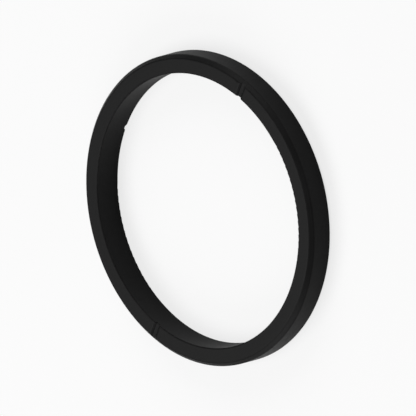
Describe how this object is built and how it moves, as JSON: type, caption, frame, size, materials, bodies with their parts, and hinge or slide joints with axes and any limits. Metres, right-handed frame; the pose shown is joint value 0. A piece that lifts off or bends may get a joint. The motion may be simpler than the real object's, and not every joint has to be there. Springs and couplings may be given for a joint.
{
  "type": "piston seal",
  "caption": "Endless black elastomer piston seal of rectangular section, with chamfered outer edges and staggered pressure notches across its side faces.",
  "frame": {"origin": "centre of the ring at its lower side face, on the ring's axis", "axes": "+Z along the ring's axis towards the upper side face; +X through a notch of the upper face, +Y through a notch of the lower face"},
  "size_m": [0.08, 0.08, 0.0076],
  "materials": {
    "elastomer": "moulded black elastomer, satin"
  },
  "bodies": {
    "root": {"seal_ring": "elastomer"}
  },
  "joints": []
}
